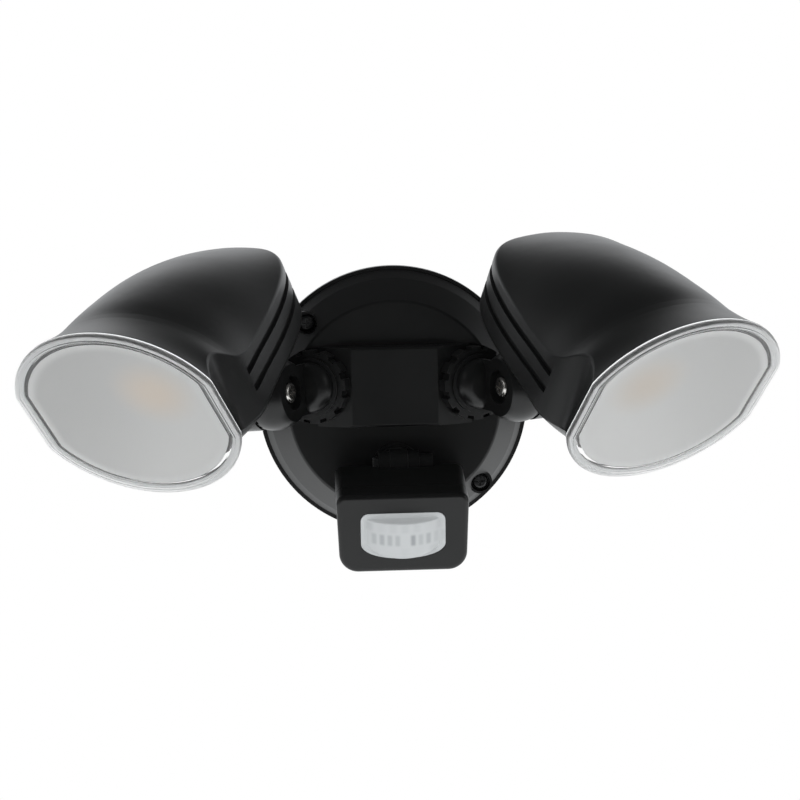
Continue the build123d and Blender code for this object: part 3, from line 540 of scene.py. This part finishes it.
frosted = {
    # dim and bright: painted shade and painted light across the panel
    "dim": (0.66, 0.66, 0.65, 1),
    "bright": (0.86, 0.86, 0.845, 1),
    # left and right: the painted warm glow of each head
    "left": (0.92, 0.80, 0.68, 1),
    "right": (0.80, 0.715, 0.62, 1),
    # halo: a painted highlight along the panel's border
    "paintedHalo": (0.90, 0.90, 0.89, 1),
    "spread": 0.05,
    "paintedLightSlopeUp": -0.6,
    "paintedLightSlopeReach": 0.040,
    "paintedGlowPlace": (0.018, 0.0125),
    "paintedGlowInner": 0.002,
    "paintedGlowOuter": 0.022,
    "paintedHaloStart": 0.0062,
    "paintedHaloEnd": 0.0100,
    "scatter": 0.2,
    "scatterReach": 0.004,
    "roughness": 0.55,
    "grainScale": 2500.0,
    "grain": 0.2,
}


def frostedPlastic(name):
    # milky panel with painted light: brighter towards the middle of the light as painted shading, with a
    # faint painted warm glow and a painted pale highlight along its border
    side = heads[name]["side"]
    material, tree, surface = newMaterial(f"{name}Frosted")
    local = within(tree, lensFrame(heads[name]))
    x, y = parts(tree, local)[:2]
    # painted light: the panel drawn brighter towards the fitting's middle and downwards, darker away from
    # it
    paintedLightSlope = maths(tree, "MULTIPLY_ADD", x, -side, maths(tree, "MULTIPLY", y, frosted["paintedLightSlopeUp"]))
    level = ramp(tree, paintedLightSlope, -frosted["paintedLightSlopeReach"], frosted["paintedLightSlopeReach"])
    paintedLightPanel = mixColour(tree, level, frosted["dim"], frosted["bright"])
    # painted glow: a warm pool of light painted round one spot of the panel
    paintedGlowX, paintedGlowY = frosted["paintedGlowPlace"]
    away = distanceTo(tree, flattened(tree, local), (-side * paintedGlowX, paintedGlowY, 0))
    paintedGlow = ramp(tree, away, frosted["paintedGlowInner"], frosted["paintedGlowOuter"], 1.0, 0.0)
    paintedGlowWarmed = mixColour(tree, paintedGlow, paintedLightPanel, frosted[name])
    inset = place(tree, insetGroup, Point=local)["Inset"]
    # painted highlight: a pale band painted along the panel's border
    paintedHalo = ramp(tree, inset, frosted["paintedHaloStart"], frosted["paintedHaloEnd"], 1.0, 0.0)
    tree.links.new(mixColour(tree, paintedHalo, paintedGlowWarmed, frosted["paintedHalo"]), surface.inputs["Base Color"])
    addScatter(surface, frosted)
    addGrain(tree, surface, frosted)
    return material


# Milky window: rows of moulded facets show through it as soft upright bars, their darkness partly painted
# shade
window = {
    "light": (0.44, 0.45, 0.455, 1),
    # dark: the painted shade of the facets
    "dark": (0.24, 0.25, 0.26, 1),
    "rows": (
        {"low": -0.0218, "high": -0.0154, "pitch": 0.0034, "shift": 0.0010, "strength": 1.0},
        {"low": -0.0290, "high": -0.0214, "pitch": 0.0062, "shift": 0.0025, "strength": 0.30},
        {"low": -0.0158, "high": -0.0105, "pitch": 0.0052, "shift": 0.0020, "strength": 0.25},
    ),
    "softEdge": 0.0016,
    "softSide": 0.42,
    "depth": 0.85,
    "scatter": 0.25,
    "scatterReach": 0.003,
    "roughness": 0.30,
    "spread": 0.08,
    "grainScale": 600.0,
    "grain": 0.08,
}


def facetRow(tree, x, y, row):
    # bars of a chance depth each, darker as painted shade, soft at their sides, within the row's height
    soft = window["softEdge"]
    column = maths(tree, "DIVIDE", maths(tree, "ADD", x, row["shift"]), row["pitch"])
    chance = newNode(tree, "ShaderNodeTexWhiteNoise", noise_dimensions="1D")
    whole = maths(tree, "ADD", maths(tree, "FLOOR", column), row["low"])
    tree.links.new(whole, chance.inputs["W"])
    across = maths(tree, "FRACT", column)
    side = maths(tree, "MINIMUM", across, maths(tree, "SUBTRACT", 1.0, across))
    bar = ramp(tree, side, 0.0, window["softSide"])
    above = ramp(tree, y, row["low"], row["low"] + soft)
    below = ramp(tree, y, row["high"] - soft, row["high"], 1.0, 0.0)
    band = maths(tree, "MULTIPLY", above, below)
    shade = maths(tree, "MULTIPLY", maths(tree, "MULTIPLY", bar, band), chance.outputs["Value"])
    return maths(tree, "MULTIPLY", shade, row["strength"])


def milkyWindow():
    material, tree, surface = newMaterial("milkyWindow")
    x, y = parts(tree, within(tree, sensorFrame()))[:2]
    shade = 0.0
    for row in window["rows"]:
        shade = maths(tree, "ADD", facetRow(tree, x, y, row), shade)
    # painted shade: the facets' darkness drawn into the colour over the real facet pattern
    mask = maths(tree, "MULTIPLY", shade, window["depth"])
    tree.links.new(mixColour(tree, mask, window["light"], window["dark"]), surface.inputs["Base Color"])
    addScatter(surface, window)
    addGrain(tree, surface, window)
    return material


plains = {
    "white_tray": {"name": "whiteTray", "tone": (0.85, 0.85, 0.83, 1), "roughness": 0.35},
    "board_white": {"name": "whiteBoard", "tone": (0.88, 0.88, 0.86, 1), "roughness": 0.40},
    "board_green": {"name": "greenBoard", "tone": (0.03, 0.18, 0.07, 1), "roughness": 0.40},
    "lamp_yellow": {"name": "phosphor", "tone": (0.90, 0.68, 0.20, 1), "roughness": 0.50},
    "silicone_pale": {"name": "paleSilicone", "tone": (0.86, 0.87, 0.87, 1), "roughness": 0.55},
    "terminal": {"name": "creamBlock", "tone": (0.75, 0.72, 0.64, 1), "roughness": 0.50},
    "component": {"name": "componentBlue", "tone": (0.05, 0.09, 0.20, 1), "roughness": 0.45},
}
allPlains = {"grainScale": 900.0, "grain": 0.15, "spread": 0.1}


def plainPlastic(look):
    material, tree, surface = newMaterial(look["name"])
    surface.inputs["Base Color"].default_value = look["tone"]
    addGrain(tree, surface, {**allPlains, **look})
    return material


metals = {
    "heat_aluminium": {
        "name": "plainAluminium",
        "tone": (0.80, 0.81, 0.82),
        "roughness": 0.40,
        "shade": 0.04,
    },
    "zinc_plate": {
        "name": "zincPlate",
        "tone": (0.62, 0.63, 0.64),
        "roughness": 0.38,
        "shade": 0.14,
    },
    "stainless": {
        "name": "stainless",
        "tone": (0.72, 0.70, 0.67),
        "roughness": 0.22,
        "shade": 0.03,
    },
    "detector_can": {
        "name": "canMetal",
        "tone": (0.70, 0.70, 0.70),
        "roughness": 0.30,
        "shade": 0.03,
    },
}
allMetals = {"spangleScale": 260.0, "grainScale": 700.0, "grain": 0.2, "spread": 0.15}


def metal(look):
    material, tree, surface = newMaterial(look["name"])
    shade = place(tree, spangleGroup, Scale=allMetals["spangleScale"])["Shade"]
    bright = (*look["tone"], 1)
    dim = (*(channel * (1 - look["shade"]) for channel in look["tone"]), 1)
    tree.links.new(mixColour(tree, shade, dim, bright), surface.inputs["Base Color"])
    surface.inputs["Metallic"].default_value = 1.0
    addGrain(tree, surface, {**allMetals, **look})
    return material


materials = {"window_white": milkyWindow()}
for looks, make in ((blackPlastics, blackPlastic), (plains, plainPlastic), (metals, metal)):
    for slot, look in looks.items():
        materials[slot] = make(look)


def dress(node, material):
    mesh = nodes[node].data
    mesh.materials.clear()
    mesh.materials.append(material)


for subpart in frame["record"]["subparts"]:
    if subpart["material_slot"] in materials:
        dress(subpart["node"], materials[subpart["material_slot"]])
for name in heads:
    dress(f"{name}_lens", clearPlastic(name))
    dress(f"{name}_diffuser", frostedPlastic(name))
print("materials ready")


# Remade pieces
def bridge(low, high, around):
    # quads between two closed loops of vertices
    faces = []
    for step in range(around):
        ahead = (step + 1) % around
        faces.append((low + step, low + ahead, high + ahead, high + step))
    return faces


def newPiece(name, vertices, faces, slot):
    mesh = bpy.data.meshes.new(name)
    mesh.from_pydata(vertices, [], faces)
    mesh.shade_smooth()
    mesh.materials.append(materials[slot])
    piece = bpy.data.objects.new(name, mesh)
    scene.collection.objects.link(piece)
    return piece


# Lens seals: the pale lips between the clear flanges and the hoods show as the bright rims
seal = {
    "outer": 0.0003,
    "inner": 0.0040,
    "front": 0.00205,
    "back": 0.00275,
    "round": 0.0002,
    "roundSteps": 3,
    "arcSteps": 40,
    "cornerSteps": 8,
}


def outlineLoop(inset):
    # the lens outline at an inset, clockwise from its top
    half, radius, centre = lensArc(inset)
    corner = lensForm["corner"]
    cornerX = half - corner
    cornerY = centre + sqrt((radius - corner) ** 2 - cornerX**2)
    start = atan2(cornerY - centre, cornerX)
    quarter = []
    for step in range(seal["arcSteps"] + 1):
        angle = pi / 2 + (start - pi / 2) * step / seal["arcSteps"]
        quarter.append((radius * cos(angle), centre + radius * sin(angle)))
    for step in range(1, seal["cornerSteps"] + 1):
        angle = start * (1 - step / seal["cornerSteps"])
        quarter.append((cornerX + corner * cos(angle), cornerY + corner * sin(angle)))
    right = (quarter + [(x, -y) for x, y in reversed(quarter)])[:-1]
    return right + [(-x, -y) for x, y in right]


def sealSection():
    # rounded rectangle of inset and depth
    section = []
    corners = (
        (seal["outer"], seal["front"], 1, 1, pi),
        (seal["inner"], seal["front"], -1, 1, -pi / 2),
        (seal["inner"], seal["back"], -1, -1, 0.0),
        (seal["outer"], seal["back"], 1, -1, pi / 2),
    )
    for edge, face, inward, deeper, start in corners:
        centreInset = edge + inward * seal["round"]
        centreDepth = face + deeper * seal["round"]
        for step in range(seal["roundSteps"] + 1):
            angle = start + pi / 2 * step / seal["roundSteps"]
            inset = centreInset + seal["round"] * cos(angle)
            section.append((inset, centreDepth + seal["round"] * sin(angle)))
    return section


def addSeal(name):
    lens = lensFrame(heads[name])
    section = sealSection()
    vertices = []
    for inset, depth in section:
        vertices += [lens @ Vector((x, y, -depth)) for x, y in outlineLoop(inset)]
    around = len(vertices) // len(section)
    faces = []
    for ring in range(len(section)):
        after = (ring + 1) % len(section)
        faces += bridge(ring * around, after * around, around)
    piece = newPiece(f"{name}LensSeal", vertices, faces, "silicone_pale")
    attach(piece, f"{name}_head")
    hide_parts(f"{name}_lens_gasket")


for name in heads:
    addSeal(name)
print("lens seals ready")


# Window: a flat border round an upright barrel, in the frame of the sensor's hinge
windowForm = {
    "front": 0.0420,
    "half": 0.0186,
    "top": -0.0084,
    "bottom": -0.0295,
    "corner": 0.0036,
    "cornerLeast": 0.0012,
    "bellyDepth": 0.0072,
    "bellyPower": 2.1,
    "seat": 0.00003,
    "lip": 0.0006,
    "lipShares": ((0.0, 0.6), (0.15, 0.9), (0.5, 1.0)),
    "border": 0.0020,
    "borderFold": 0.00021,
    "wall": 0.0007,
    "wallShares": ((0.0, 0.05), (0.25, 0.35), (0.5, 0.75), (0.75, 0.95), (1.0, 1.0)),
    "bulge": 0.0076,
    "straightSteps": 24,
    "cornerSteps": 8,
    "sideSteps": 8,
    "bellySteps": 28,
    "innerLoops": 14,
}


def windowLoop(inset):
    # straight top and sides, and a full round belly, clockwise from the middle of the top
    half = windowForm["half"] - inset
    top = windowForm["top"] - inset
    corner = max(windowForm["corner"] - inset, windowForm["cornerLeast"])
    depth = windowForm["bellyDepth"] - inset / 2
    cornerTop = top - corner
    bellyTop = windowForm["bottom"] + inset + depth
    power = 2 / windowForm["bellyPower"]
    right = []
    for step in range(windowForm["straightSteps"]):
        right.append(((half - corner) * step / windowForm["straightSteps"], top))
    for step in range(windowForm["cornerSteps"]):
        angle = pi / 2 * (1 - step / windowForm["cornerSteps"])
        right.append((half - corner + corner * cos(angle), cornerTop + corner * sin(angle)))
    for step in range(windowForm["sideSteps"]):
        right.append((half, cornerTop + (bellyTop - cornerTop) * step / windowForm["sideSteps"]))
    for step in range(windowForm["bellySteps"] + 1):
        angle = pi / 2 * step / windowForm["bellySteps"]
        right.append((half * abs(cos(angle)) ** power, bellyTop - depth * abs(sin(angle)) ** power))
    return right + [(-x, y) for x, y in reversed(right[1:-1])]


def barrelHeight(x):
    chord = windowForm["half"] - windowForm["border"]
    bulge = windowForm["bulge"]
    radius = (bulge * bulge + chord * chord) / (2 * bulge)
    return max(bulge - radius + sqrt(max(radius * radius - x * x, 0.0)), windowForm["lip"])


def windowLoops():
    # from the seat over the lip and the border, up the barrel's wall and in towards its middle
    lip, border, wall = windowForm["lip"], windowForm["border"], windowForm["wall"]
    profile = [(0.0, windowForm["seat"])]
    profile += [(lip * inset, lip * rise) for inset, rise in windowForm["lipShares"]]
    profile.append((border - windowForm["borderFold"], lip))
    loops = [[(x, y, height) for x, y in windowLoop(inset)] for inset, height in profile]
    for share, rise in windowForm["wallShares"]:
        ring = windowLoop(border + wall * share)
        loops.append([(x, y, lip + (barrelHeight(x) - lip) * rise) for x, y in ring])
    middle = (windowForm["top"] + windowForm["bottom"]) / 2
    edge = windowLoop(border + wall)
    for step in range(1, windowForm["innerLoops"]):
        share = 1 - step / windowForm["innerLoops"]
        ring = [(x * share, middle + (y - middle) * share) for x, y in edge]
        loops.append([(x, y, barrelHeight(x)) for x, y in ring])
    return loops, [(0, middle, barrelHeight(0)), (0, middle, windowForm["seat"])]


def addWindow():
    sensor = sensorFrame() @ Matrix.Translation((0, 0, windowForm["front"]))
    loops, centres = windowLoops()
    vertices = [sensor @ Vector(point) for loop in (*loops, centres) for point in loop]
    around = len(loops[0])
    faces = []
    for ring in range(len(loops) - 1):
        faces += bridge((ring + 1) * around, ring * around, around)
    last = (len(loops) - 1) * around
    tip, back = len(vertices) - 2, len(vertices) - 1
    for step in range(around):
        ahead = (step + 1) % around
        faces.append((last + ahead, last + step, tip))
        faces.append((step, ahead, back))
    piece = newPiece("windowDome", vertices, faces, "window_white")
    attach(piece, "sensor_case")
    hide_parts("window_lens")


addWindow()
print("window ready")
